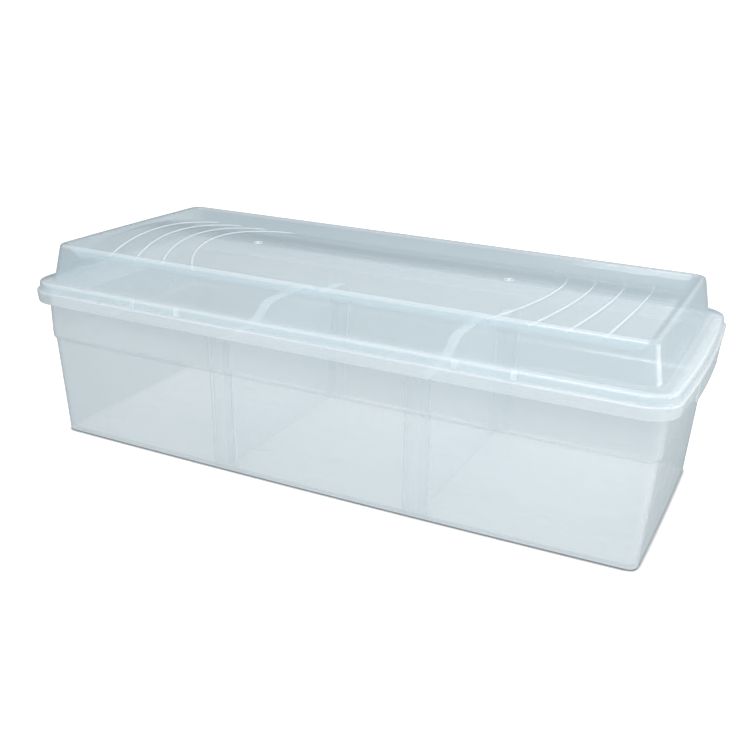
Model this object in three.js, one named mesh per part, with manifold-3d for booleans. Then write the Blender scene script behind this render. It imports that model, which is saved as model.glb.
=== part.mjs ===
// Divided storage box: a long clear tub, a domed lid that drops over its rim,
// and two loose dividers that stand in guide channels.
// Millimetres, +Z up, +X along the length. Origin: centre of the underside.

import * as THREE from 'three';
import { mergeVertices } from 'three/addons/utils/BufferGeometryUtils.js';
import Module from 'manifold-3d';

const wasm = await Module();
wasm.setup();

// ---------------------------------------------------------------- dimensions
const DIVIDER_X = 120;          // centre of each divider from the middle
const FLOOR_T = 2.4;            // tub floor thickness
const REST_GAP = 0.3;           // air gap where one piece rests on another

const BAND_BOTTOM = 171;        // lower edge of the tub's rim band
const GRIP_BOTTOM = 160;        // lower edge of the band at the end grips
const GRIP_IN = 66;             // half length of the grip's low stretch
const GRIP_OUT = 74;            // where the band is back at full height

const CLIP_IN = 161;            // clip pad on the lid skirt, from the middle
const CLIP_OUT = 226;
const CLIP_RAMP = 4;
const CLIP_PROUD = 1.2;

const LID_TOP = 238.2;          // top face of the lid's raised border
const VAULT_TOP = 237.2;        // crown of the arched panel
const VAULT_K = 0.000914;       // fall of the panel per mm squared of Y
const LID_T = 2.0;

const DIV_T = 2.4;              // divider web
const DIV_FLANGE = 12;          // half width of the divider's end flanges
const DIV_FLANGE_T = 2.2;
const DIV_BEAD = 6;             // half width of the bead along the top edge
const DIV_BEAD_T = 2.4;
const DIV_WALL_GAP = 0.9;       // divider to tub wall
const DIV_TOP = 181.6;
const DIV_SHOULDER = 161;

const GUIDE_GAP = 0.7;          // divider flange to guide rib
const GUIDE_T = 2.0;
const GUIDE_PROUD = 4.0;
const GUIDE_TOP = 163;

const RIB_R = [178, 240, 305, 470];       // arc ribs on the lid, radii
const RIB_APEX = [218, 248, 279, 308];    // and how far out each one reaches
const RIB_W = 2.0;
const RIB_H = 0.9;

// ------------------------------------------------------------------- rings
// A ring is a rounded rectangle of half length a, half width b and corner
// radius r at height z. The sides bow out by ca (ends) and cb (long sides).
// Stations are the same on every ring, so that rings join into a skin.
const END_Y = [-GRIP_OUT, -GRIP_IN, -33, 0, 33, GRIP_IN, GRIP_OUT];
const SIDE_X = [-CLIP_OUT, -CLIP_OUT + CLIP_RAMP, -CLIP_IN - CLIP_RAMP, -CLIP_IN, -DIVIDER_X, 0,
  DIVIDER_X, CLIP_IN, CLIP_IN + CLIP_RAMP, CLIP_OUT - CLIP_RAMP, CLIP_OUT];
const CORNER_N = 4;

function isGrip(y) { return Math.abs(y) <= GRIP_IN + 0.01; }
function isClip(x) {
  const d = Math.abs(x);
  return d >= CLIP_IN + CLIP_RAMP - 0.01 && d <= CLIP_OUT - CLIP_RAMP + 0.01;
}

function ring({ a, b, r, z, ca = 0, cb = 0, zf = null, grip = 0, clip = 0 }) {
  const pts = [];
  const push = (x, y, kind) => {
    let px = x, py = y;
    if (kind === 'end') {
      const t = b - r > 0 ? y / (b - r) : 0;
      px += Math.sign(x) * ca * (1 - t * t);
    } else if (kind === 'side') {
      const t = a - r > 0 ? x / (a - r) : 0;
      py += Math.sign(y) * cb * (1 - t * t);
      if (clip && isClip(x)) py += Math.sign(y) * clip;
    }
    let pz = z;
    if (kind === 'end' && grip && isGrip(y)) pz += grip;
    if (zf) pz = zf(px, py);
    pts.push([px, b === 0 ? 0 : py, pz]);
  };
  const corner = (sx, sy, from) => {
    for (let i = 0; i <= CORNER_N; i++) {
      const t = from + (Math.PI / 2) * (i / CORNER_N);
      push(sx * (a - r) + r * Math.cos(t), sy * (b - r) + r * Math.sin(t), 'corner');
    }
  };
  const ys = Math.min(1, (b - r) / 78);        // short rings squeeze their end stations
  for (const y of END_Y) push(a, y * ys, b ? 'end' : 'corner');            // +X end
  corner(1, 1, 0);
  for (const x of [...SIDE_X].reverse()) push(x, b, 'side');               // +Y side
  corner(-1, 1, Math.PI / 2);
  for (const y of [...END_Y].reverse()) push(-a, y * ys, b ? 'end' : 'corner');
  corner(-1, -1, Math.PI);
  for (const x of SIDE_X) push(x, -b, 'side');                             // -Y side
  corner(1, -1, 1.5 * Math.PI);
  return pts;
}

// Joins rings in order; the first and last collapse on a line and close it.
function skin(rings) {
  const n = rings[0].length;
  const pos = [];
  const tri = (p, q, s) => {
    const u = [q[0] - p[0], q[1] - p[1], q[2] - p[2]];
    const v = [s[0] - p[0], s[1] - p[1], s[2] - p[2]];
    const c = [u[1] * v[2] - u[2] * v[1], u[2] * v[0] - u[0] * v[2], u[0] * v[1] - u[1] * v[0]];
    if (Math.hypot(...c) < 1e-7) return;
    pos.push(...p, ...q, ...s);
  };
  for (let j = 0; j + 1 < rings.length; j++) {
    for (let i = 0; i < n; i++) {
      const k = (i + 1) % n;
      const p00 = rings[j][i], p10 = rings[j][k], p01 = rings[j + 1][i], p11 = rings[j + 1][k];
      tri(p00, p10, p11);
      tri(p00, p11, p01);
    }
  }
  const g = new THREE.BufferGeometry();
  g.setAttribute('position', new THREE.Float32BufferAttribute(pos, 3));
  return g;
}

// ------------------------------------------------------------------- solids
function toManifold(geometry) {
  const g = geometry.clone();
  g.deleteAttribute('normal');
  g.deleteAttribute('uv');
  const m = mergeVertices(g, 1e-4);
  const index = m.index.array;
  const keep = [];
  for (let i = 0; i < index.length; i += 3) {
    const [p, q, s] = [index[i], index[i + 1], index[i + 2]];
    if (p !== q && q !== s && p !== s) keep.push(p, q, s);
  }
  return new wasm.Manifold(new wasm.Mesh({
    numProp: 3,
    vertProperties: new Float32Array(m.attributes.position.array),
    triVerts: new Uint32Array(keep),
  }));
}

function toGeometry(manifold) {
  const mesh = manifold.getMesh();
  const g = new THREE.BufferGeometry();
  g.setAttribute('position', new THREE.BufferAttribute(new Float32Array(mesh.vertProperties), 3));
  g.setIndex(new THREE.BufferAttribute(new Uint32Array(mesh.triVerts), 1));
  const flat = g.toNonIndexed();
  flat.computeVertexNormals();
  return flat;
}

// A plate whose outline is given in (y, z), as thick as t, centred on x.
function plateYZ(outline, t, x) {
  const shape = new THREE.Shape(outline.map(([y, z]) => new THREE.Vector2(y, z)));
  const g = new THREE.ExtrudeGeometry(shape, { depth: t, bevelEnabled: false });
  const p = g.attributes.position;
  for (let i = 0; i < p.count; i++) {
    const y = p.getX(i), z = p.getY(i), d = p.getZ(i);
    p.setXYZ(i, x + d - t / 2, y, z);
  }
  return toManifold(g);
}

// --------------------------------------------------------------------- tub
// Skin of the tub from under its floor, up the outside, round the rim, down
// the inside and over the floor.
const gripDrop = GRIP_BOTTOM - BAND_BOTTOM;
const tubOutside = [
  { a: 236, b: 0, r: 0, z: 0 },
  { a: 351.2, b: 132.8, r: 8, z: 0, ca: 1.0, cb: 3.5 },
  { a: 354.9, b: 136.3, r: 10.4, z: 1.3, ca: 1.0, cb: 3.5 },
  { a: 356.1, b: 137.4, r: 11, z: 4.6, ca: 1.0, cb: 3.5 },
  { a: 362.6, b: 145.2, r: 12, z: 120.6, ca: 1.2, cb: 1.6 },
  { a: 365.3, b: 148.1, r: 13.8, z: 124.6, ca: 1.2, cb: 1.4 },
  { a: 366.2, b: 149.4, r: 14.4, z: 187.4, ca: 1.2, cb: 1.2 },
  { a: 367.2, b: 150.8, r: 17, z: 190.1, ca: 2.0, cb: 1.2 },
  { a: 370.1, b: 159.6, r: 26.4, z: 190.3, ca: 5.0, cb: 1.2 },
  { a: 371.7, b: 160.6, r: 27.6, z: 183.2, ca: 5.0, cb: 1.2 },
  { a: 375.9, b: 165.2, r: 32, z: 182.4, ca: 5.0, cb: 1.2 },
  { a: 375.0, b: 164.7, r: 31.5, z: BAND_BOTTOM, ca: 5.0, cb: 1.2, grip: gripDrop },
  { a: 377.2, b: 166.9, r: 33.5, z: BAND_BOTTOM, ca: 5.0, cb: 1.2, grip: gripDrop },
  { a: 378.7, b: 168.2, r: 34.6, z: 182.4, ca: 5.0, cb: 1.2 },
  { a: 376.9, b: 166.4, r: 33, z: 185.0, ca: 5.0, cb: 1.2 },
  { a: 372.9, b: 162.2, r: 29.4, z: 185.0, ca: 5.0, cb: 1.2 },
  { a: 372.7, b: 162.0, r: 29.2, z: 190.2, ca: 5.0, cb: 1.2 },
  { a: 370.5, b: 160.0, r: 27.2, z: 192.6, ca: 5.0, cb: 1.2 },
];
const tubInside = [
  { a: 365.4, b: 148.6, r: 13.6, z: 192.6, ca: 1.2, cb: 1.2 },
  { a: 364.0, b: 147.2, r: 12.6, z: 191.3, ca: 1.2, cb: 1.2 },
  { a: 362.9, b: 145.8, r: 11.6, z: 125.6, ca: 1.2, cb: 1.4 },
  { a: 360.3, b: 142.9, r: 10, z: 121.4, ca: 1.2, cb: 1.6 },
  { a: 353.7, b: 135.1, r: 9, z: 6.6, ca: 1.0, cb: 3.5 },
  { a: 352.4, b: 133.8, r: 8, z: 3.6, ca: 1.0, cb: 3.5 },
  { a: 349.0, b: 130.4, r: 6, z: FLOOR_T, ca: 1.0, cb: 3.5 },
  { a: 236, b: 0, r: 0, z: FLOOR_T },
];

// Inner face of the tub's long wall at height z and position x.
function innerWallY(x, z) {
  const rows = tubInside.slice(0, -1);
  for (let i = 0; i + 1 < rows.length; i++) {
    const hi = rows[i], lo = rows[i + 1];
    if (z <= hi.z + 1e-9 && z >= lo.z - 1e-9 && hi.z - lo.z > 1e-9) {
      const t = (z - lo.z) / (hi.z - lo.z);
      const at = (s) => s.b + s.cb * (1 - (x / (s.a - s.r)) ** 2);
      return at(lo) + t * (at(hi) - at(lo));
    }
  }
  throw new Error('no wall at this height');
}

let tub = toManifold(skin([...tubOutside, ...tubInside].map(ring)));

const wallStops = [6.6, 60, 121.4, 125.6];
for (const c of [-DIVIDER_X, DIVIDER_X]) {
  for (const s of [-1, 1]) {
    const x = c + s * (DIV_FLANGE + GUIDE_GAP + GUIDE_T / 2);
    for (const side of [-1, 1]) {
      const heights = [...wallStops, GUIDE_TOP];
      const root = heights.map((z) => [side * (innerWallY(x, z) + 1.0), z]);
      const nose = heights.map((z) => [side * (innerWallY(x, z) - GUIDE_PROUD), z]).reverse();
      nose[0] = [nose[0][0] + side * 2.5, nose[0][1] + 0.0];
      nose.splice(1, 0, [side * (innerWallY(x, GUIDE_TOP - 5) - GUIDE_PROUD), GUIDE_TOP - 5]);
      const foot = [[side * (innerWallY(x, 6.6) - GUIDE_PROUD - 3), FLOOR_T - 0.8],
        [side * (innerWallY(x, 3.6) - 1.5), FLOOR_T - 0.8]];
      const outline = [...root, ...nose, ...foot];
      if (side < 0) outline.reverse();
      const rib = plateYZ(outline, GUIDE_T, x);
      tub = tub.add(rib);
    }
  }
}

// --------------------------------------------------------------------- lid
const vault = (y) => VAULT_TOP - VAULT_K * y * y;
const lidInside = [
  { a: 236, b: 0, r: 0, zf: (x, y) => vault(y) - LID_T },
  { a: 276, b: 52, r: 4, zf: (x, y) => vault(y) - LID_T },
  { a: 304, b: 90, r: 7, zf: (x, y) => vault(y) - LID_T },
  { a: 328.5, b: 120.4, r: 9, zf: (x, y) => vault(y) - LID_T },
  { a: 334.6, b: 127.3, r: 10, zf: (x, y) => Math.min(vault(y) - 1.4, LID_TOP - LID_T) },
  { a: 338.4, b: 131.7, r: 10.6, zf: (x, y) => Math.min(vault(y) + 1.2, LID_TOP - LID_T) },
  { a: 343.6, b: 136.2, r: 11, z: LID_TOP - LID_T },
  { a: 345.6, b: 138.2, r: 11.4, z: LID_TOP - LID_T, ca: 0.6, cb: 0.6 },
  { a: 348.0, b: 140.5, r: 12, z: 234.2, ca: 1.2, cb: 1.2 },
  { a: 355.2, b: 146.6, r: 15.4, z: 200.0, ca: 1.2, cb: 1.2 },
  { a: 358.5, b: 150.0, r: 18.4, z: 192.6 + REST_GAP, ca: 1.2, cb: 1.2 },
  { a: 370.9, b: 160.4, r: 27.6, z: 192.6 + REST_GAP, ca: 5.0, cb: 1.2 },
  { a: 373.3, b: 162.6, r: 29.8, z: 190.4, ca: 5.0, cb: 1.2 },
  { a: 373.6, b: 162.9, r: 30.1, z: 185.5, ca: 5.0, cb: 1.2, clip: CLIP_PROUD },
];
const lidOutside = [
  { a: 375.6, b: 164.9, r: 31.9, z: 185.5, ca: 5.0, cb: 1.2, clip: CLIP_PROUD },
  { a: 375.1, b: 164.6, r: 31.6, z: 190.4, ca: 5.0, cb: 1.2, clip: CLIP_PROUD },
  { a: 373.2, b: 163.2, r: 30.2, z: 193.6, ca: 5.0, cb: 1.2 },
  { a: 369.6, b: 160.4, r: 27.6, z: 195.2, ca: 4.6, cb: 1.2 },
  { a: 361.8, b: 153.4, r: 21.4, z: 195.8, ca: 2.0, cb: 1.2 },
  { a: 359.0, b: 150.5, r: 19.2, z: 197.0, ca: 1.2, cb: 1.2 },
  { a: 357.3, b: 148.7, r: 17.4, z: 200.0, ca: 1.2, cb: 1.2 },
  { a: 350.2, b: 142.7, r: 14, z: 234.9, ca: 1.2, cb: 1.2 },
  { a: 347.2, b: 139.7, r: 12.4, z: LID_TOP, ca: 1.0, cb: 1.0 },
  { a: 343.6, b: 135.0, r: 11, z: LID_TOP, ca: 0.4, cb: 0.4 },
  { a: 338.6, b: 130.8, r: 10.4, zf: (x, y) => Math.min(vault(y) + 5.2, LID_TOP) },
  { a: 334.0, b: 126.8, r: 9.8, zf: (x, y) => Math.min(vault(y) + 0.8, LID_TOP) },
  { a: 328.0, b: 120.0, r: 9, zf: (x, y) => vault(y) },
  { a: 304, b: 90, r: 7, zf: (x, y) => vault(y) },
  { a: 276, b: 52, r: 4, zf: (x, y) => vault(y) },
  { a: 236, b: 0, r: 0, zf: (x, y) => vault(y) },
];
let lid = toManifold(skin([...lidInside, ...lidOutside].map(ring)));

// Low arc ribs on the arched panel, four at each end.
function arcRib(apex, radius, sign) {
  const yEnd = 108;
  const steps = 10;
  const pos = [];
  const cx = apex - radius;
  const section = (y) => {
    const rIn = radius - RIB_W / 2, rOut = radius + RIB_W / 2;
    const xi = cx + Math.sqrt(rIn * rIn - y * y), xo = cx + Math.sqrt(rOut * rOut - y * y);
    const top = vault(y) + RIB_H, low = vault(y) - 1.2;
    const q = [[xi, y, low], [xo, y, low], [xo - 0.4, y, top], [xi + 0.4, y, top]];
    return q.map(([x, yy, z]) => [sign * x, yy, z]);
  };
  const rows = [];
  for (let i = 0; i <= steps; i++) rows.push(section(-yEnd + (2 * yEnd * i) / steps));
  const tri = (p, q, s) => (sign > 0 ? pos.push(...p, ...q, ...s) : pos.push(...p, ...s, ...q));
  for (let i = 0; i < steps; i++) {
    for (let k = 0; k < 4; k++) {
      const l = (k + 1) % 4;
      tri(rows[i][k], rows[i + 1][k], rows[i + 1][l]);
      tri(rows[i][k], rows[i + 1][l], rows[i][l]);
    }
  }
  const e = rows[0], f = rows[steps];
  tri(e[0], e[1], e[2]); tri(e[0], e[2], e[3]);
  tri(f[0], f[2], f[1]); tri(f[0], f[3], f[2]);
  const g = new THREE.BufferGeometry();
  g.setAttribute('position', new THREE.Float32BufferAttribute(pos, 3));
  return toManifold(g);
}
for (let i = 0; i < RIB_R.length; i++) {
  for (const s of [-1, 1]) lid = lid.add(arcRib(RIB_APEX[i], RIB_R[i], s));
}

// ---------------------------------------------------------------- dividers
// A web with a flange at each end, which stands between two guide ribs, and
// a bead along its top edge. The middle is raised above the two shoulders.
const topLine = [[143, DIV_SHOULDER], [104, DIV_SHOULDER + 0.2], [84, DIV_SHOULDER + 1.6],
  [70, DIV_SHOULDER + 5.4], [58, DIV_TOP - 8.2], [48, DIV_TOP - 2.6], [38, DIV_TOP - 0.5], [26, DIV_TOP]];

function divider(c) {
  const edge = [[7.6, 0], [60, 0], [119.0, 0], [122.0, 0], [126.2, 0], [DIV_SHOULDER - 2.0, 0]]
    .map(([z]) => [Math.min(innerWallY(c, z), innerWallY(c + DIV_FLANGE, z), innerWallY(c - DIV_FLANGE, z)) - DIV_WALL_GAP, z]);
  // the step in the wall needs room below it
  edge[3][0] = edge[2][0] + 0.2;
  edge[4][0] = innerWallY(c + Math.sign(c) * DIV_FLANGE, 125.6) - DIV_WALL_GAP - 0.4;
  const yTop = edge[edge.length - 1][0] + 0.1;
  const bottomZ = FLOOR_T + REST_GAP;
  const half = [
    [edge[0][0] - 5.0, bottomZ],
    ...edge,
    [yTop - 1.6, DIV_SHOULDER],
    ...topLine.slice(1),
  ];
  const outline = [...half, ...half.map(([y, z]) => [-y, z]).reverse()];
  let body = plateYZ(outline, DIV_T, c);
  for (const s of [-1, 1]) {
    const strip = [
      ...half.slice(0, 8).map(([y, z]) => [s * y, z]),
      [s * (yTop - 3.6), DIV_SHOULDER],
      ...edge.map(([y, z]) => [s * (y - DIV_FLANGE_T), z]).reverse(),
      [s * (half[0][0] - DIV_FLANGE_T), bottomZ],
    ];
    if (s < 0) strip.reverse();
    body = body.add(plateYZ(strip, 2 * DIV_FLANGE, c));
  }
  const upper = [[yTop - 1.6, DIV_SHOULDER], ...topLine.slice(1)];
  const full = [...upper, ...upper.map(([y, z]) => [-y, z]).reverse()];
  const bead = [...full, ...full.map(([y, z]) => [y, z - DIV_BEAD_T]).reverse()];
  body = body.add(plateYZ(bead, 2 * DIV_BEAD, c));
  return body;
}

// ------------------------------------------------------------------ scene
const clear = (colour) => new THREE.MeshStandardMaterial({
  color: colour, roughness: 0.22, metalness: 0, transparent: true, opacity: 0.5,
});

const group = new THREE.Group();
function addPart(name, manifold, material) {
  const mesh = new THREE.Mesh(toGeometry(manifold), material);
  mesh.name = name;
  group.add(mesh);
}
addPart('tub', tub, clear(0xdde8ee));
addPart('lid', lid, clear(0xd0dfe7));
addPart('divider_left', divider(-DIVIDER_X), clear(0xd8e5ea));
addPart('divider_right', divider(DIVIDER_X), clear(0xd8e5ea));

export default group;
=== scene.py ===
import math

import bpy
from mathutils import Matrix, Vector


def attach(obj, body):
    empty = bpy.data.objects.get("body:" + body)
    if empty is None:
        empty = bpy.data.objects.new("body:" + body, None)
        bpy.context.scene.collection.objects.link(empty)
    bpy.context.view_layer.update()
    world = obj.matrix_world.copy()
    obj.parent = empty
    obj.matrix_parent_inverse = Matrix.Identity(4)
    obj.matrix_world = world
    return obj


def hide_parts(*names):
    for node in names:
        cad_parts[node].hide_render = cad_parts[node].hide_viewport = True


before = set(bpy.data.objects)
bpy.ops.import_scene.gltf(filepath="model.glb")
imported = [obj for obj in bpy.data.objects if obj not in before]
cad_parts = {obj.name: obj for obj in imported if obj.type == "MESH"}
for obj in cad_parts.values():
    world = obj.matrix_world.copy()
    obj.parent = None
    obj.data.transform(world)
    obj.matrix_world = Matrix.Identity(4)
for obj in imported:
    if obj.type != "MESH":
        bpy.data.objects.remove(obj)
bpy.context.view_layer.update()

MM = 0.001

# ------------------------------------------------------------------ camera
def make_camera():
    unit = 0.35
    place = Vector((1.38376192, -2.96573748, 1.48580324)) * unit
    pitch, roll, yaw = math.radians(20.325098), math.radians(2.04592332), math.radians(24.88357842)
    fwd = Vector((-math.sin(yaw) * math.cos(pitch), math.cos(yaw) * math.cos(pitch), -math.sin(pitch)))
    right = Vector((math.cos(yaw), math.sin(yaw), 0.0))
    up = right.cross(fwd)
    r2 = right * math.cos(roll) + up * math.sin(roll)
    u2 = -right * math.sin(roll) + up * math.cos(roll)
    data = bpy.data.cameras.new("camera")
    data.sensor_fit = "HORIZONTAL"
    data.sensor_width = 36.0
    data.lens = 48.756
    data.clip_start = 0.01
    data.clip_end = 60.0
    cam = bpy.data.objects.new("camera", data)
    bpy.context.scene.collection.objects.link(cam)
    m = Matrix.Identity(4)
    for i in range(3):
        m[i][0], m[i][1], m[i][2], m[i][3] = r2[i], u2[i], -fwd[i], place[i]
    cam.matrix_world = m
    bpy.context.scene.camera = cam


make_camera()

# -------------------------------------------------------------- dimensions
DIVIDER_X = 120.0
FLOOR_T = 2.4
BAND_BOTTOM = 171.0
GRIP_DROP = -11.0
GRIP_IN, GRIP_OUT = 65.0, 75.0
CLIP_IN, CLIP_OUT = 161.0, 226.0
CLIP_RAMP = 4.0
CLIP_PROUD = 1.2
LID_TOP = 238.2
VAULT_TOP = 237.2
VAULT_K = 0.000914
LID_T = 2.0
RIB_R = (178.0, 240.0, 305.0, 470.0)
RIB_APEX = (218.0, 248.0, 279.0, 308.0)


def vault(y):
    return VAULT_TOP - VAULT_K * y * y


def smooth(t):
    t = min(max(t, 0.0), 1.0)
    return t * t * (3 - 2 * t)


# ------------------------------------------------------------------- rings
# Every ring is a rounded rectangle with the same stations, so that rings join
# into one closed skin.
CORNER_N = 12
END_MM = sorted(set([-GRIP_OUT - 1, -GRIP_OUT + 1, -GRIP_OUT + 3, -GRIP_OUT + 5, -GRIP_IN - 3, -GRIP_IN - 1, -GRIP_IN + 1]
                    + [GRIP_OUT + 1, GRIP_OUT - 1, GRIP_OUT - 3, GRIP_OUT - 5, GRIP_IN + 3, GRIP_IN + 1, GRIP_IN - 1]
                    + [s * v for s in (-1, 1) for v in (85.0, 95.0, 105.0)]
                    + [float(v) for v in range(-60, 61, 10)]))
SIDE_MM = sorted(set([s * (CLIP_IN + d) for s in (-1, 1) for d in (-0.8, 0.4, 1.6, 2.8, 4.0, 5.2)]
                     + [s * (CLIP_OUT - d) for s in (-1, 1) for d in (-0.8, 0.4, 1.6, 2.8, 4.0, 5.2)]
                     + [float(v) for v in range(-150, 151, 15)]
                     + [s * v for s in (-1, 1) for v in (172.0, 183.0, 194.0, 205.0, 215.0, 236.0, 250.0, 265.0, 280.0, 300.0, 318.0)]))


def clip_amount(x):
    d = abs(x)
    return smooth((d - CLIP_IN) / CLIP_RAMP) * smooth((CLIP_OUT - d) / CLIP_RAMP)


def grip_amount(y):
    return smooth((GRIP_OUT - abs(y)) / (GRIP_OUT - GRIP_IN))


def ring(p):
    a, b, r, z = p["a"], p["b"], p["r"], p["z"]
    ca, cb = p.get("ca", 0.0), p.get("cb", 0.0)
    grip, clip, on_vault = p.get("grip", 0.0), p.get("clip", 0.0), p.get("v", 0.0)
    r = max(r, 0.0)
    la, lb = a - r, b - r
    pts = []

    def push(x, y, kind):
        px, py, pz = x, y, z
        if kind == "end":
            t = y / lb if lb > 1e-6 else 0.0
            px += math.copysign(ca * (1 - t * t), x)
            pz += grip * grip_amount(y) * (1 if lb > 90 else 0)
        elif kind == "side":
            t = x / la if la > 1e-6 else 0.0
            py += math.copysign(cb * (1 - t * t), y)
            py += math.copysign(clip * clip_amount(x), y)
        if on_vault:
            pz = on_vault * (vault(py) + p.get("dv", 0.0)) + (1 - on_vault) * z
            if p.get("cap") is not None:
                pz = min(pz, p["cap"])
        pts.append((px, py, pz))

    ks = min(1.0, lb / 107.0) if lb > 0 else 0.0
    kx = min(1.0, la / 319.0)

    def corner(sx, sy, start):
        for i in range(CORNER_N + 1):
            t = start + (math.pi / 2) * (i / CORNER_N)
            push(sx * la + r * math.cos(t), sy * lb + r * math.sin(t), "corner")

    for y in END_MM:
        push(a, y * ks, "end")
    corner(1, 1, 0.0)
    for x in reversed(SIDE_MM):
        push(x * kx, b, "side")
    corner(-1, 1, math.pi / 2)
    for y in reversed(END_MM):
        push(-a, y * ks, "end")
    corner(-1, -1, math.pi)
    for x in SIDE_MM:
        push(x * kx, -b, "side")
    corner(1, -1, 1.5 * math.pi)
    return pts


KEYS = ("a", "b", "r", "z", "ca", "cb", "grip", "clip", "v", "dv")


def rounded(rows, default=0.9, steps=4):
    """Rounds each corner of the profile: the corner ring becomes a short curve."""
    full = [{k: float(q.get(k, 0.0)) for k in KEYS}
            | {"f": q.get("f", default), "cap": q.get("cap"), "h": q.get("h", 0)} for q in rows]

    def dist(p, q):
        return math.hypot(p["b"] - q["b"], p["z"] - q["z"]) + abs(p["v"] - q["v"]) * 2

    def mix(p, q, t):
        out = {k: p[k] + (q[k] - p[k]) * t for k in KEYS}
        caps = [c for c in (p["cap"], q["cap"]) if c is not None]
        out["cap"] = min(caps) if caps else None
        return out

    out = [full[0]]
    for i in range(1, len(full) - 1):
        p, q, s = full[i - 1], full[i], full[i + 1]
        d1, d2 = dist(p, q), dist(q, s)
        f = min(q["f"], 0.48 * d1, 0.48 * d2)
        if f < 0.05 or q["f"] == 0:
            out.append(q)
            continue
        start, end = mix(q, p, f / d1), mix(q, s, f / d2)
        for k in range(steps + 1):
            t = k / steps
            e1, e2 = mix(start, q, t), mix(q, end, t)
            e3 = mix(e1, e2, t)
            e3["h"] = q["h"]
            out.append(e3)
    out.append(full[-1])
    return out


def skin(rows):
    """Vertices, faces and marks of the skin over the rings. The first and last
    ring are closed by a strip across, so the body is watertight. A face
    between two rings of the same mark h is marked 1: a painted highlight line."""
    rings = [ring(r) for r in rows]
    n = len(rings[0])
    verts = [v for r in rings for v in r]
    faces, marks = [], []
    for j in range(len(rings) - 1):
        # hot faces get the lighter, milkier edge material: a painted highlight line
        hot = rows[j].get("h", 0) if rows[j].get("h") == rows[j + 1].get("h") else 0
        hot = min(hot, 1)
        for i in range(n):
            k = (i + 1) % n
            faces.append((j * n + i, j * n + k, (j + 1) * n + k, (j + 1) * n + i))
            marks.append(hot)

    # The innermost rings are closed by strips between opposite stations.
    mid = len(END_MM) // 2
    half = n // 2

    def cap(base, flip):
        up = [(mid + i) % n for i in range(half + 1)]
        down = [(mid - i) % n for i in range(half + 1)]
        for i in range(half):
            f = []
            for q in (up[i], up[i + 1], down[i + 1], down[i]):
                if base + q not in f:
                    f.append(base + q)
            if len(f) > 2:
                faces.append(tuple(reversed(f)) if flip else tuple(f))
                marks.append(0)

    cap(0, True)
    cap((len(rings) - 1) * n, False)
    return verts, faces, marks


def add_mesh(name, verts, faces, marks=None):
    mesh = bpy.data.meshes.new(name)
    mesh.from_pydata([(x * MM, y * MM, z * MM) for x, y, z in verts], [], faces)
    mesh.validate(verbose=False)
    mesh.update()
    o = bpy.data.objects.new(name, mesh)
    bpy.context.scene.collection.objects.link(o)
    for p in mesh.polygons:
        p.use_smooth = True
        if marks:
            p.material_index = marks[p.index]
    return o


def joined(parts):
    """Several (verts, faces, marks) as one; marks may be one number."""
    verts, faces, marks = [], [], []
    for v, f, m in parts:
        base = len(verts)
        verts += v
        faces += [tuple(base + i for i in q) for q in f]
        marks += m if isinstance(m, list) else [m] * len(f)
    return verts, faces, marks


def between(p, q, count):
    """Rows p to q with count - 1 more in between, p left out."""
    out = []
    for i in range(1, count + 1):
        t = i / count
        row = {k: p.get(k, 0.0) + (q.get(k, 0.0) - p.get(k, 0.0)) * t for k in KEYS}
        row["f"] = 0
        out.append(row)
    return out


# --------------------------------------------------------------------- tub
TUB_ROWS = [
    dict(a=344.0, b=125.6, r=6.0, z=0.0, ca=1.0, cb=3.5, f=0),
    dict(a=356.0, b=137.3, r=9.5, z=0.0, ca=1.0, cb=3.5, f=3.2),
    dict(a=362.6, b=145.2, r=12.0, z=120.6, ca=1.2, cb=1.6, f=1.5),
    dict(a=365.3, b=148.1, r=13.8, z=124.6, ca=1.2, cb=1.4, f=1.5),
    dict(a=366.2, b=149.5, r=14.4, z=190.3, ca=1.2, cb=1.2, f=3.0),
    dict(a=371.0, b=160.2, r=27.0, z=190.3, ca=5.0, cb=1.2, f=1.0),
    dict(a=371.8, b=160.8, r=27.6, z=182.6, ca=5.0, cb=1.2, f=1.0),
    dict(a=376.0, b=165.3, r=32.0, z=182.5, ca=5.0, cb=1.2, f=1.0),
    dict(a=375.0, b=164.7, r=31.5, z=BAND_BOTTOM, ca=5.0, cb=1.2, grip=GRIP_DROP, f=0.9),
    dict(a=377.2, b=166.9, r=33.5, z=BAND_BOTTOM, ca=5.0, cb=1.2, grip=GRIP_DROP, f=0.9, h=1),
    dict(a=378.7, b=168.2, r=34.6, z=184.9, ca=5.0, cb=1.2, f=1.8, h=2),
    dict(a=372.9, b=162.2, r=29.4, z=185.0, ca=5.0, cb=1.2, f=0.5),
    dict(a=372.6, b=161.9, r=29.1, z=192.6, ca=5.0, cb=1.2, f=2.2),
    dict(a=364.2, b=147.5, r=12.9, z=192.6, ca=1.2, cb=1.2, f=1.4),
    dict(a=362.9, b=145.8, r=11.6, z=125.6, ca=1.2, cb=1.4, f=1.5),
    dict(a=360.3, b=142.9, r=10.0, z=121.4, ca=1.2, cb=1.6, f=1.5),
    dict(a=353.4, b=134.8, r=9.0, z=FLOOR_T, ca=1.0, cb=3.5, f=4.6),
    dict(a=341.0, b=122.4, r=5.0, z=FLOOR_T, ca=1.0, cb=3.5, f=0),
]

INNER = [(192.6, 365.4, 148.6, 13.6, 1.2), (191.3, 364.0, 147.2, 12.6, 1.2), (125.6, 362.9, 145.8, 11.6, 1.4),
         (121.4, 360.3, 142.9, 10.0, 1.6), (6.6, 353.7, 135.1, 9.0, 3.5), (3.6, 352.4, 133.8, 8.0, 3.5),
         (2.4, 349.0, 130.4, 6.0, 3.5)]


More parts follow.
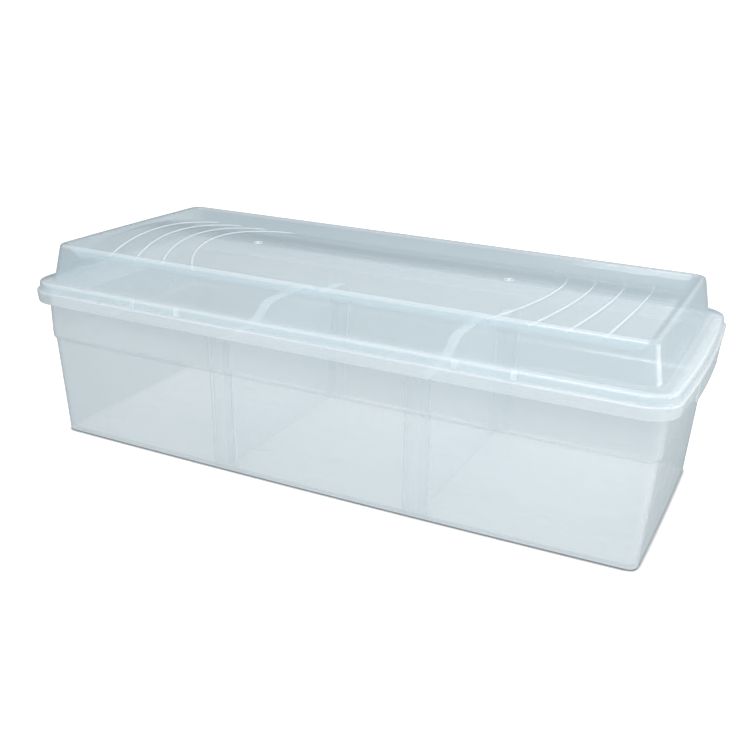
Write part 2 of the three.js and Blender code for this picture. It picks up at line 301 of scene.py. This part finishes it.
def inner_wall(x, z):
    """Inner face of the long wall at this x and height."""
    z = min(max(z, 2.4), 192.6)
    for hi, lo in zip(INNER, INNER[1:]):
        if lo[0] <= z <= hi[0]:
            t = (z - lo[0]) / (hi[0] - lo[0])
            at = lambda s: s[2] + s[4] * (1 - (x / (s[1] - s[3])) ** 2)
            return at(lo) + t * (at(hi) - at(lo))
    return INNER[0][2]


# --------------------------------------------------------------------- lid
CEIL = dict(a=236.0, b=1.5, r=1.0, z=233.0, v=1.0, dv=-LID_T, f=0)
CEIL_OUT = dict(a=326.0, b=117.6, r=8.0, z=222.0, v=1.0, dv=-LID_T, f=0)
PANEL_OUT = dict(a=326.5, b=118.2, r=8.6, z=224.0, v=1.0, dv=0.0, f=0)
PANEL = dict(a=236.0, b=1.5, r=1.0, z=237.0, v=1.0, dv=0.0, f=0)
LID_ROWS = [CEIL] + between(CEIL, CEIL_OUT, 22) + [
    dict(a=334.6, b=126.8, r=10.0, z=221.0, v=1.0, dv=-1.2, f=6.0),
    dict(a=343.6, b=136.2, r=11.0, z=LID_TOP - LID_T, f=1.4),
    dict(a=347.4, b=140.0, r=12.0, z=LID_TOP - LID_T, ca=1.2, cb=1.2, f=1.4),
    dict(a=356.4, b=147.6, r=16.6, z=192.9, ca=1.2, cb=1.2, f=2.6),
    dict(a=373.4, b=162.7, r=29.9, z=192.9, ca=5.0, cb=1.2, f=2.2),
    dict(a=373.6, b=162.9, r=30.1, z=185.5, ca=5.0, cb=1.2, clip=CLIP_PROUD, f=0.7),
    dict(a=375.6, b=164.9, r=31.9, z=185.5, ca=5.0, cb=1.2, clip=CLIP_PROUD, f=0.8, h=1),
    dict(a=375.1, b=164.6, r=31.6, z=190.4, ca=5.0, cb=1.2, clip=CLIP_PROUD, f=1.5),
    dict(a=374.6, b=164.3, r=31.3, z=195.2, ca=5.0, cb=1.2, f=4.6, h=2),
    dict(a=358.0, b=149.5, r=18.2, z=195.9, ca=1.2, cb=1.2, f=3.2),
    dict(a=349.6, b=142.2, r=13.7, z=LID_TOP, ca=1.2, cb=1.2, f=3.4, h=1),
    dict(a=343.2, b=134.6, r=11.0, z=LID_TOP, ca=0.4, cb=0.4, f=1.6, h=2),
    dict(a=333.4, b=126.0, r=9.8, z=223.0, v=1.0, dv=0.0, f=7.0),
    PANEL_OUT,
] + between(PANEL_OUT, PANEL, 22)


def arc_rib(apex, radius, sign, width=3.6, height=0.95):
    """A low rounded rib that lies along an arc of the arched panel."""
    y_end, steps = 116.0, 76
    cx = apex - radius
    prof = [(-0.5, -0.5), (-0.46, 0.25), (-0.3, 0.8), (0.0, 1.0), (0.3, 0.8), (0.46, 0.25), (0.5, -0.5)]
    verts, faces = [], []
    for i in range(steps + 1):
        y = -y_end + 2 * y_end * i / steps
        fade = smooth((y_end - abs(y)) / 6.0)
        x = cx + math.sqrt(radius * radius - y * y)
        nx, ny = (x - cx) / radius, y / radius
        for q, h in prof:
            px, py = x + nx * q * width, y + ny * q * width
            pz = vault(py) + (h * height * (0.12 + 0.88 * fade) if h > 0 else -0.3)
            verts.append((sign * px, py, min(pz, LID_TOP - 0.02)))
    n = len(prof)
    for i in range(steps):
        for k in range(n):
            l = (k + 1) % n
            f = (i * n + l, (i + 1) * n + l, (i + 1) * n + k, i * n + k)
            faces.append(f if sign > 0 else tuple(reversed(f)))
    ends = [tuple(reversed(range(n))), tuple(steps * n + k for k in range(n))]
    faces += ends if sign > 0 else [tuple(reversed(f)) for f in ends]
    return verts, faces


def ring_mark(cx, cy, radius, width=1.0, height=0.35, core=2.2):
    """The round mark left by the moulding gate: a low ring and a small button."""
    verts, faces = [], []
    steps, prof = 40, [(-0.5, -0.6), (-0.4, 0.6), (0.0, 1.0), (0.4, 0.6), (0.5, -0.6)]
    for i in range(steps):
        t = 2 * math.pi * i / steps
        for q, h in prof:
            rr = radius + q * width
            x, y = cx + rr * math.cos(t), cy + rr * math.sin(t)
            verts.append((x, y, vault(y) + h * height))
    n = len(prof)
    for i in range(steps):
        j = (i + 1) % steps
        for k in range(n):
            l = (k + 1) % n
            faces.append((i * n + l, j * n + l, j * n + k, i * n + k))
    base = len(verts)
    for rr, h in ((core, -0.2), (core, 0.15), (core * 0.8, 0.4), (core * 0.4, 0.45)):
        for i in range(steps):
            t = 2 * math.pi * i / steps
            x, y = cx + rr * math.cos(t), cy + rr * math.sin(t)
            verts.append((x, y, vault(y) + h))
    for j in range(3):
        for i in range(steps):
            k = (i + 1) % steps
            faces.append((base + j * steps + i, base + j * steps + k, base + (j + 1) * steps + k, base + (j + 1) * steps + i))
    faces.append(tuple(base + i for i in reversed(range(steps))))
    faces.append(tuple(base + 3 * steps + i for i in range(steps)))
    return verts, faces


# ---------------------------------------------------------------- dividers
SHOULDER, DIV_TOP = 161.0, 181.6
TOP_LINE = [(0.0, DIV_TOP), (26.0, DIV_TOP), (38.0, DIV_TOP - 0.5), (48.0, DIV_TOP - 2.6), (58.0, DIV_TOP - 8.2),
            (70.0, SHOULDER + 5.4), (84.0, SHOULDER + 1.6), (104.0, SHOULDER + 0.2), (150.0, SHOULDER)]


def top_line(y):
    """The divider's top edge, as one smooth curve through its points."""
    y = abs(y)
    pts = TOP_LINE
    for i in range(len(pts) - 1):
        if pts[i][0] <= y <= pts[i + 1][0]:
            (x1, y1), (x2, y2) = pts[i], pts[i + 1]
            m = lambda k: 0.0 if k <= 0 or k >= len(pts) - 1 else (
                (pts[k + 1][1] - pts[k - 1][1]) / (pts[k + 1][0] - pts[k - 1][0]))
            h = x2 - x1
            t = (y - x1) / h
            return ((2 * t ** 3 - 3 * t * t + 1) * y1 + (t ** 3 - 2 * t * t + t) * h * m(i)
                    + (-2 * t ** 3 + 3 * t * t) * y2 + (t ** 3 - t * t) * h * m(i + 1))
    return pts[-1][1]


def end_y(c, z):
    """Outer face of the divider's end flange at this height."""
    wall = min(inner_wall(c, z), inner_wall(c - 12, z), inner_wall(c + 12, z))
    if 118.0 < z < 126.2:
        wall = min(wall, inner_wall(c + math.copysign(12, c), 119.0) + 0.2 + max(0.0, z - 121.5) * 0.5)
    return wall - 0.95


def divider_body(c):
    t, w = 1.2, 12.0
    heights = [2.7, 4.5, 8.0, 30.0, 60.0, 90.0, 112.0, 118.0, 120.5, 122.5, 124.5, 126.5, 130.0, 145.0, 156.0, 160.0, 160.9]
    ny = 56
    rings = []
    for z in heights:
        s = (z - heights[0]) / (SHOULDER - 0.1 - heights[0])
        ye = end_y(c, z) - (3.0 * (1 - smooth((z - 2.7) / 5.0)) if z < 8 else 0.0)
        yf = ye - 2.2
        out = []

        def at(x, y, web):
            zt = min(top_line(y) - 0.9, 400) if web else SHOULDER
            zz = heights[0] + s * (zt - heights[0])
            out.append((c + x, y, zz))

        ys = [yf * k / ny for k in range(-ny, ny + 1)]
        for y in ys:
            at(t, y, abs(y) < yf - 1)
        for x, y in ((w, yf), (w, ye), (t, ye), (-t, ye), (-w, ye), (-w, yf)):
            at(x, y, False)
        for y in reversed(ys):
            at(-t, y, abs(y) < yf - 1)
        for x, y in ((-w, -yf), (-w, -ye), (-t, -ye), (t, -ye), (w, -ye), (w, -yf)):
            at(x, y, False)
        rings.append(out)
    n = len(rings[0])
    verts = [v for r in rings for v in r]
    faces = []
    for j in range(len(rings) - 1):
        for i in range(n):
            k = (i + 1) % n
            faces.append((j * n + i, j * n + k, (j + 1) * n + k, (j + 1) * n + i))

    def cap(base, flip):
        m = 2 * ny + 1
        got = []
        for i in range(m - 1):                       # web
            got.append((i, i + 1, m + 6 + (m - 1 - i) - 1, m + 6 + (m - 1 - i)))
        e = m                                        # flange at +y: w,yf  w,ye  t,ye  -t,ye  -w,ye  -w,yf
        got += [(m - 1, e, e + 1, e + 2), (m - 1, e + 2, e + 3, m + 6), (m + 6, e + 3, e + 4, e + 5)]
        b = 2 * m + 6                                # flange at -y: -w,-yf  -w,-ye  -t,-ye  t,-ye  w,-ye  w,-yf
        got += [(b - 1, b, b + 1, b + 2), (b - 1, b + 2, b + 3, 0), (0, b + 3, b + 4, b + 5)]
        for f in got:
            f = tuple(base + q for q in f)
            faces.append(tuple(reversed(f)) if flip else f)
    cap(0, True)
    cap((len(rings) - 1) * n, False)
    return verts, faces


def divider_bead(c):
    """The thickened strip along the divider's top edge."""
    w, t = 6.0, 2.4
    y_end = end_y(c, 158.0) - 0.4
    ys = sorted(set([y_end * k / 60 for k in range(-60, 61)]))
    rim = []
    for sx, sz in ((1, 1), (-1, 1), (-1, -1), (1, -1)):
        a0 = {(1, 1): 0, (-1, 1): 90, (-1, -1): 180, (1, -1): 270}[(sx, sz)]
        for k in range(5):
            ang = math.radians(a0 + 22.5 * k)
            rim.append((sx * (w - 1.0) + 1.0 * math.cos(ang), sz * (t / 2 - 1.0) + 1.0 * math.sin(ang)))
    verts, faces = [], []
    for y in ys:
        d = 0.5
        slope = (top_line(y + d) - top_line(y - d)) / (2 * d)
        ln = math.hypot(1, slope)
        ny_, nz = -slope / ln, 1 / ln
        for x, h in rim:
            off = h - t / 2
            verts.append((c + x, y + ny_ * off, top_line(y) + nz * off))
    n = len(rim)
    for i in range(len(ys) - 1):
        for k in range(n):
            l = (k + 1) % n
            faces.append((i * n + l, i * n + k, (i + 1) * n + k, (i + 1) * n + l))
    faces.append(tuple(range(n)))
    faces.append(tuple((len(ys) - 1) * n + k for k in reversed(range(n))))
    return verts, faces


def guide_rib(x, side):
    """One thin upright rib on the long wall; a pair of them holds a divider."""
    heights = [1.6, 4.0, 8.0, 30.0, 60.0, 90.0, 115.0, 119.5, 121.4, 123.5, 125.6, 128.0, 145.0, 156.0, 160.5, 163.0]
    rows = []
    for z in heights:
        wall = inner_wall(x, max(z, 6.6))
        depth = 4.0
        if z < 7.0:
            depth += (7.0 - z) * 0.45
        if z > 156.0:
            depth -= (z - 156.0) / 7.0 * 2.4
        root = wall + (0.9 if z > 7 else -1.2)
        rows.append((side * root, side * (wall - depth), z))
    t = 1.0
    verts, faces = [], []
    for root, nose, z in rows:
        sgn = 0.35 * side
        verts += [(x - t, root, z), (x - t, nose + sgn, z), (x - t * 0.65, nose, z), (x + t * 0.65, nose, z),
                  (x + t, nose + sgn, z), (x + t, root, z)]
    n = 6
    for j in range(len(rows) - 1):
        for i in range(n):
            k = (i + 1) % n
            f = (j * n + i, j * n + k, (j + 1) * n + k, (j + 1) * n + i)
            faces.append(f if side > 0 else tuple(reversed(f)))
    low = tuple(reversed(range(n)))
    high = tuple((len(rows) - 1) * n + k for k in range(n))
    faces += [low, high] if side > 0 else [tuple(reversed(low)), tuple(reversed(high))]
    return verts, faces


# ------------------------------------------------------------------ pieces
def place(piece, body, node, slot):
    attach(piece, body)
    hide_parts(node)


guides = [guide_rib(sx * (DIVIDER_X + off), sy) for sx in (-1, 1) for off in (-13.7, 13.7) for sy in (-1, 1)]
tub_verts, tub_faces, tub_marks = skin(rounded(TUB_ROWS))
for i, f in enumerate(tub_faces):
    if all(tub_verts[q][2] < FLOOR_T + 0.2 for q in f):
        tub_marks[i] = 2
tub = add_mesh("tub_shell", *joined([(tub_verts, tub_faces, tub_marks)] + [(v, f, 0) for v, f in guides]))
place(tub, "tub", "tub", "tub_clear")

arcs = [arc_rib(p, r, sgn) for p, r in zip(RIB_APEX, RIB_R) for sgn in (-1, 1)]
marks = [ring_mark(sgn * 160.0, 0.0, 5.5) for sgn in (-1, 1)]
lid_verts, lid_faces, lid_marks = skin(rounded(LID_ROWS))
for i, f in enumerate(lid_faces):
    xs, ys, zs = [[abs(lid_verts[q][k]) for q in f] for k in range(3)]
    if min(zs) > 230.0 and min(xs) > 339.0:
        lid_marks[i] = 0                       # the ends of the dome get no painted highlight edge
    if max(zs) < 195.5 and min(ys) > 160.0:    # the two ends of each clip pad get the rib material: painted highlight lines
        if any(at - 1.0 < min(xs) and max(xs) < at + 5.5 for at in (CLIP_IN, CLIP_OUT - 4.5)):
            lid_marks[i] = 2
lid = add_mesh("lid_shell", *joined([(lid_verts, lid_faces, lid_marks)] + [(v, f, 2) for v, f in arcs]
                                    + [(v, f, 3) for v, f in marks]))
place(lid, "lid", "lid", "lid_clear")

dividers = []
for side, sgn in (("left", -1), ("right", 1)):
    div = add_mesh("divider_%s_shell" % side, *joined([(*divider_body(sgn * DIVIDER_X), 0), (*divider_bead(sgn * DIVIDER_X), 1)]))
    place(div, "divider_" + side, "divider_" + side, "divider_clear")
    dividers.append(div)


# --------------------------------------------------------------- materials
def plastic(name, light, dark, veil, edge, tint, rough, grain=0.00003, swirl=0.00015, seed=0.0, power=2.2):
    """Clear polypropylene: partly seen through, partly a pale milky veil that
    thickens where the wall turns away. The noise gives the flow streaks, the
    fine skin texture and the handling marks."""
    mat = bpy.data.materials.new(name)
    mat.use_nodes = True
    nt = mat.node_tree
    nt.nodes.clear()
    new = nt.nodes.new
    link = nt.links.new
    out = new("ShaderNodeOutputMaterial")
    pr = new("ShaderNodeBsdfPrincipled")
    pr.inputs["IOR"].default_value = 1.49
    pr.inputs["Specular IOR Level"].default_value = 1.0
    pr.inputs["Coat Weight"].default_value = 1.0
    pr.inputs["Coat IOR"].default_value = 1.6
    pr.inputs["Coat Roughness"].default_value = 0.09
    clear = new("ShaderNodeBsdfTransparent")
    clear.inputs["Color"].default_value = (*tint, 1)
    both = new("ShaderNodeMixShader")
    co = new("ShaderNodeTexCoord")
    mp = new("ShaderNodeMapping")
    mp.inputs["Location"].default_value = (seed, seed * 0.7, seed * 0.3)
    link(co.outputs["Object"], mp.inputs["Vector"])

    def noise(scale, detail, rough_=0.5, distortion=0.0, stretch=None):
        src = mp.outputs["Vector"]
        if stretch:
            m2 = new("ShaderNodeMapping")
            m2.inputs["Scale"].default_value = stretch
            link(src, m2.inputs["Vector"])
            src = m2.outputs["Vector"]
        n = new("ShaderNodeTexNoise")
        n.inputs["Scale"].default_value = scale
        n.inputs["Detail"].default_value = detail
        n.inputs["Roughness"].default_value = rough_
        n.inputs["Distortion"].default_value = distortion
        link(src, n.inputs["Vector"])
        return n.outputs["Fac"]

    def math_(op, *args):
        n = new("ShaderNodeMath")
        n.operation = op
        for i, v in enumerate(args):
            if isinstance(v, (int, float)):
                n.inputs[i].default_value = v
            else:
                link(v, n.inputs[i])
        return n.outputs[0]

    cloud = noise(7.0, 4.0, 0.6, 0.6)
    streak = noise(16.0, 3.0, 0.55, 0.4, stretch=(0.35, 1.0, 2.2))
    fine = noise(900.0, 2.0, 0.6)
    skin_ = noise(60.0, 2.0, 0.5)

    mixc = new("ShaderNodeMix")
    mixc.data_type = "RGBA"
    mixc.inputs["A"].default_value = (*light, 1)
    mixc.inputs["B"].default_value = (*dark, 1)
    link(cloud, mixc.inputs["Factor"])
    link(mixc.outputs["Result"], pr.inputs["Base Color"])

    ramp = new("ShaderNodeMapRange")
    ramp.inputs["From Min"].default_value = 0.7
    ramp.inputs["From Max"].default_value = 1.3
    ramp.inputs["To Min"].default_value = rough * 0.75
    ramp.inputs["To Max"].default_value = rough * 1.3
    link(math_("ADD", cloud, streak), ramp.inputs["Value"])
    link(ramp.outputs["Result"], pr.inputs["Roughness"])

    b1 = new("ShaderNodeBump")
    b1.inputs["Strength"].default_value = 0.5
    b1.inputs["Distance"].default_value = swirl
    link(skin_, b1.inputs["Height"])
    b2 = new("ShaderNodeBump")
    b2.inputs["Strength"].default_value = 0.5
    b2.inputs["Distance"].default_value = grain
    link(fine, b2.inputs["Height"])
    link(b1.outputs["Normal"], b2.inputs["Normal"])
    link(b2.outputs["Normal"], pr.inputs["Normal"])

    lw = new("ShaderNodeLayerWeight")
    lw.inputs["Blend"].default_value = 0.5
    turn = math_("POWER", lw.outputs["Facing"], power)
    body = math_("MULTIPLY_ADD", streak, veil * 0.3, veil * 0.85)
    veil_ = math_("MULTIPLY_ADD", turn, edge, body)
    clamp = new("ShaderNodeClamp")
    link(veil_, clamp.inputs["Value"])
    link(clamp.outputs[0], both.inputs["Fac"])
    link(clear.outputs[0], both.inputs[1])
    link(pr.outputs["BSDF"], both.inputs[2])
    link(both.outputs[0], out.inputs["Surface"])
    return mat


def dress(o, *mats):
    """The materials of a piece, in the order of its faces' marks."""
    marks = [p.material_index for p in o.data.polygons]
    o.data.materials.clear()
    for m in mats:
        o.data.materials.append(m)
    for p, k in zip(o.data.polygons, marks):
        p.material_index = min(k, len(mats) - 1)


# The second material of each piece, and the rib material, are lighter, milkier copies of the plastic: painted
# highlight lines on edge bands, the divider bead, the ribs and the clip pad ends.
tub_mat = plastic("tub_clear_polypropylene", (0.975, 0.975, 0.975), (0.935, 0.95, 0.96), 0.22, 0.46,
                  (0.97, 0.982, 0.987), 0.26, seed=0.0, power=2.6)
tub_floor = plastic("tub_floor_polypropylene", (0.98, 0.98, 0.98), (0.94, 0.955, 0.96), 0.30, 0.40,
                    (0.98, 0.987, 0.99), 0.34, seed=1.7, power=1.6)
tub_edge_highlight = plastic("tub_edge_highlight_polypropylene", (0.95, 0.975, 0.985), (0.91, 0.95, 0.965), 0.28, 0.36,
                    (0.97, 0.982, 0.987), 0.26, seed=0.0, power=2.0)
lid_mat = plastic("lid_clear_polypropylene", (0.89, 0.95, 0.975), (0.84, 0.92, 0.95), 0.12, 0.29,
                  (0.965, 0.982, 0.988), 0.18, seed=3.1, power=2.6)
lid_edge_highlight = plastic("lid_edge_highlight_polypropylene", (0.94, 0.965, 0.975), (0.90, 0.94, 0.955), 0.24, 0.34,
                    (0.97, 0.984, 0.99), 0.18, seed=3.1, power=2.0)
lid_gate = plastic("lid_gate_polypropylene", (0.97, 0.985, 0.99), (0.94, 0.96, 0.97), 0.70, 0.25,
                   (0.97, 0.984, 0.99), 0.18, seed=3.1, power=2.0)
lid_rib_highlight = plastic("lid_rib_highlight_polypropylene", (0.91, 0.955, 0.975), (0.86, 0.92, 0.945), 0.34, 0.32,
                  (0.97, 0.984, 0.99), 0.18, seed=3.1, power=2.0)
div_mat = plastic("divider_clear_polypropylene", (0.975, 0.975, 0.975), (0.935, 0.95, 0.96), 0.075, 0.14,
                  (0.985, 0.992, 0.995), 0.28, seed=7.7, power=2.6)
div_edge_highlight = plastic("divider_edge_highlight_polypropylene", (0.96, 0.975, 0.985), (0.92, 0.95, 0.965), 0.20, 0.34,
                    (0.975, 0.985, 0.99), 0.28, seed=7.7, power=2.0)
dress(tub, tub_mat, tub_edge_highlight, tub_floor)
dress(lid, lid_mat, lid_edge_highlight, lid_rib_highlight, lid_gate)
for o in dividers:
    dress(o, div_mat, div_edge_highlight)
for name, mat in (("tub", tub_mat), ("lid", lid_mat), ("divider_left", div_mat), ("divider_right", div_mat)):
    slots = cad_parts[name].data.materials
    for i in range(len(slots)):
        slots[i] = mat
    if not len(slots):
        slots.append(mat)

# ------------------------------------------------------------------- stage
floor_mesh = bpy.data.meshes.new("studio_floor")
R = 60.0
ends = [(R * math.cos(math.pi * k / 24), R * math.sin(math.pi * k / 24)) for k in range(48)]
floor_mesh.from_pydata([(x, y, -0.0003) for x, y in ends] + [(x, y, 4.0) for x, y in ends], [],
                       [tuple(range(48))] + [(k, (k + 1) % 48, 48 + (k + 1) % 48, 48 + k) for k in range(48)])
floor = bpy.data.objects.new("studio_floor", floor_mesh)
bpy.context.scene.collection.objects.link(floor)
fm = bpy.data.materials.new("studio_floor")
fm.use_nodes = True
fb = fm.node_tree.nodes["Principled BSDF"]
fb.inputs["Base Color"].default_value = (0.93, 0.93, 0.93, 1)
fb.inputs["Roughness"].default_value = 0.9
fb.inputs["Specular IOR Level"].default_value = 0.0
fb.inputs["Emission Color"].default_value = (1, 1, 1, 1)
fb.inputs["Emission Strength"].default_value = 0.42
# Seen straight on, the floor is the bright sweep of a studio. Through the
# plastic and in its reflections it is painted shade: a dim blue-grey glow.
ft = fm.node_tree
path = ft.nodes.new("ShaderNodeLightPath")
past = ft.nodes.new("ShaderNodeMath")
past.operation = "GREATER_THAN"
past.inputs[1].default_value = 0.5
ft.links.new(path.outputs["Transparent Depth"], past.inputs[0])
seen = ft.nodes.new("ShaderNodeMath")
seen.operation = "MULTIPLY"
ft.links.new(past.outputs[0], seen.inputs[0])
ft.links.new(path.outputs["Is Camera Ray"], seen.inputs[1])
table = ft.nodes.new("ShaderNodeEmission")
table.inputs["Color"].default_value = (0.39, 0.45, 0.48, 1)
pick = ft.nodes.new("ShaderNodeMixShader")
blind = ft.nodes.new("ShaderNodeMath")
blind.operation = "SUBTRACT"
blind.inputs[0].default_value = 1.0
ft.links.new(path.outputs["Is Camera Ray"], blind.inputs[1])
mirror = ft.nodes.new("ShaderNodeMath")
mirror.operation = "MAXIMUM"
ft.links.new(seen.outputs[0], mirror.inputs[0])
ft.links.new(blind.outputs[0], mirror.inputs[1])
ft.links.new(mirror.outputs[0], pick.inputs["Fac"])
glow = ft.nodes.new("ShaderNodeMath")
glow.operation = "MULTIPLY_ADD"
glow.inputs[1].default_value = 0.95
glow.inputs[2].default_value = 1.0
ft.links.new(path.outputs["Is Diffuse Ray"], glow.inputs[0])
# Painted shade: the table's glow is graded darker towards the left.
where = ft.nodes.new("ShaderNodeNewGeometry")
parts = ft.nodes.new("ShaderNodeSeparateXYZ")
ft.links.new(where.outputs["Position"], parts.inputs["Vector"])
fall = ft.nodes.new("ShaderNodeMapRange")
fall.inputs["From Min"].default_value = -1.1
fall.inputs["From Max"].default_value = 0.2
fall.inputs["To Min"].default_value = 0.72
fall.inputs["To Max"].default_value = 1.0
ft.links.new(parts.outputs["X"], fall.inputs["Value"])
graded = ft.nodes.new("ShaderNodeMath")
graded.operation = "MULTIPLY"
ft.links.new(glow.outputs[0], graded.inputs[0])
ft.links.new(fall.outputs["Result"], graded.inputs[1])
ft.links.new(graded.outputs[0], table.inputs["Strength"])
# Painted contact shadow: a dark grey glow on the floor, seen by camera rays, where ambient occlusion finds the box
# close.
near = ft.nodes.new("ShaderNodeAmbientOcclusion")
near.samples = 8
near.inputs["Distance"].default_value = 0.009
line = ft.nodes.new("ShaderNodeMapRange")
line.inputs["From Min"].default_value = 0.42
line.inputs["From Max"].default_value = 0.82
line.inputs["To Min"].default_value = 1.0
line.inputs["To Max"].default_value = 0.0
ft.links.new(near.outputs["AO"], line.inputs["Value"])
direct = ft.nodes.new("ShaderNodeMath")
direct.operation = "MULTIPLY"
ft.links.new(line.outputs["Result"], direct.inputs[0])
ft.links.new(path.outputs["Is Camera Ray"], direct.inputs[1])
shade = ft.nodes.new("ShaderNodeEmission")
shade.inputs["Color"].default_value = (0.20, 0.22, 0.23, 1)
under = ft.nodes.new("ShaderNodeMixShader")
ft.links.new(direct.outputs[0], under.inputs["Fac"])
ft.links.new(fb.outputs[0], under.inputs[1])
ft.links.new(shade.outputs[0], under.inputs[2])
ft.links.new(under.outputs[0], pick.inputs[1])
ft.links.new(table.outputs[0], pick.inputs[2])
ft.links.new(pick.outputs[0], ft.nodes["Material Output"].inputs["Surface"])
floor.data.materials.append(fm)

world = bpy.data.worlds.new("studio")
world.use_nodes = True
wt = world.node_tree
bg = wt.nodes["Background"]
bg.inputs["Strength"].default_value = 1.0
tc = wt.nodes.new("ShaderNodeTexCoord")
sep = wt.nodes.new("ShaderNodeSeparateXYZ")
wt.links.new(tc.outputs["Generated"], sep.inputs["Vector"])
cr = wt.nodes.new("ShaderNodeValToRGB")
cr.color_ramp.elements[0].position = 0.0
cr.color_ramp.elements[0].color = (0.14, 0.16, 0.18, 1)
cr.color_ramp.elements[1].position = 1.0
cr.color_ramp.elements[1].color = (0.82, 0.84, 0.86, 1)
for at, shade_ in ((0.25, (0.48, 0.50, 0.52, 1)), (0.5, (0.92, 0.93, 0.95, 1)), (0.75, (0.97, 0.97, 0.97, 1))):
    e = cr.color_ramp.elements.new(at)
    e.color = shade_
away = wt.nodes.new("ShaderNodeMath")
away.operation = "MULTIPLY_ADD"
away.inputs[1].default_value = 0.5
away.inputs[2].default_value = 0.5
wt.links.new(sep.outputs["X"], away.inputs[0])
wt.links.new(away.outputs[0], cr.inputs["Fac"])
front = wt.nodes.new("ShaderNodeMath")
front.operation = "MINIMUM"
front.inputs[1].default_value = 0.0
wt.links.new(sep.outputs["Y"], front.inputs[0])
height = wt.nodes.new("ShaderNodeMath")
height.operation = "MULTIPLY_ADD"
height.inputs[1].default_value = -0.8
wt.links.new(front.outputs[0], height.inputs[0])
wt.links.new(sep.outputs["Z"], height.inputs[2])
low = wt.nodes.new("ShaderNodeValToRGB")
low.color_ramp.elements[0].position = 0.19
low.color_ramp.elements[0].color = (0.30, 0.36, 0.40, 1)
low.color_ramp.elements[1].position = 0.27
low.color_ramp.elements[1].color = (1.0, 1.0, 1.0, 1)
wt.links.new(height.outputs[0], low.inputs["Fac"])
sky = wt.nodes.new("ShaderNodeMix")
sky.data_type = "RGBA"
sky.blend_type = "MULTIPLY"
sky.inputs["Factor"].default_value = 1.0
wt.links.new(cr.outputs["Color"], sky.inputs["A"])
wt.links.new(low.outputs["Color"], sky.inputs["B"])
wt.links.new(sky.outputs["Result"], bg.inputs["Color"])
# Above the floor's rim the sweep goes on white where it is seen directly.
sweep = wt.nodes.new("ShaderNodeBackground")
sweep.inputs["Color"].default_value = (1, 1, 1, 1)
sweep.inputs["Strength"].default_value = 1.2
view = wt.nodes.new("ShaderNodeLightPath")
bare = wt.nodes.new("ShaderNodeMath")
bare.operation = "LESS_THAN"
bare.inputs[1].default_value = 0.5
wt.links.new(view.outputs["Transparent Depth"], bare.inputs[0])
plain = wt.nodes.new("ShaderNodeMath")
plain.operation = "MULTIPLY"
wt.links.new(bare.outputs[0], plain.inputs[0])
wt.links.new(view.outputs["Is Camera Ray"], plain.inputs[1])
sky_mix = wt.nodes.new("ShaderNodeMixShader")
wt.links.new(plain.outputs[0], sky_mix.inputs["Fac"])
wt.links.new(bg.outputs[0], sky_mix.inputs[1])
wt.links.new(sweep.outputs[0], sky_mix.inputs[2])
wt.links.new(sky_mix.outputs[0], wt.nodes["World Output"].inputs["Surface"])
bpy.context.scene.world = world


def area(name, place, target, size, power, colour=(1, 1, 1)):
    data = bpy.data.lights.new(name, "AREA")
    data.shape = "RECTANGLE"
    data.size, data.size_y = size
    data.energy = power
    data.color = colour
    o = bpy.data.objects.new(name, data)
    bpy.context.scene.collection.objects.link(o)
    o.location = place
    d = Vector(target) - Vector(place)
    o.rotation_euler = d.to_track_quat("-Z", "Y").to_euler()
    return o


area("front_softbox", (0.34, -1.04, 1.32), (0.22, 0.0, 0.15), (1.0, 0.7), 16)
area("end_softbox", (1.7, 0.25, 0.30), (0.38, 0.0, 0.05), (0.9, 0.35), 8)

scene = bpy.context.scene
scene.view_settings.view_transform = "Standard"
scene.cycles.max_bounces = 24
scene.cycles.transmission_bounces = 24
scene.cycles.transparent_max_bounces = 64
scene.cycles.glossy_bounces = 8
scene.cycles.diffuse_bounces = 4
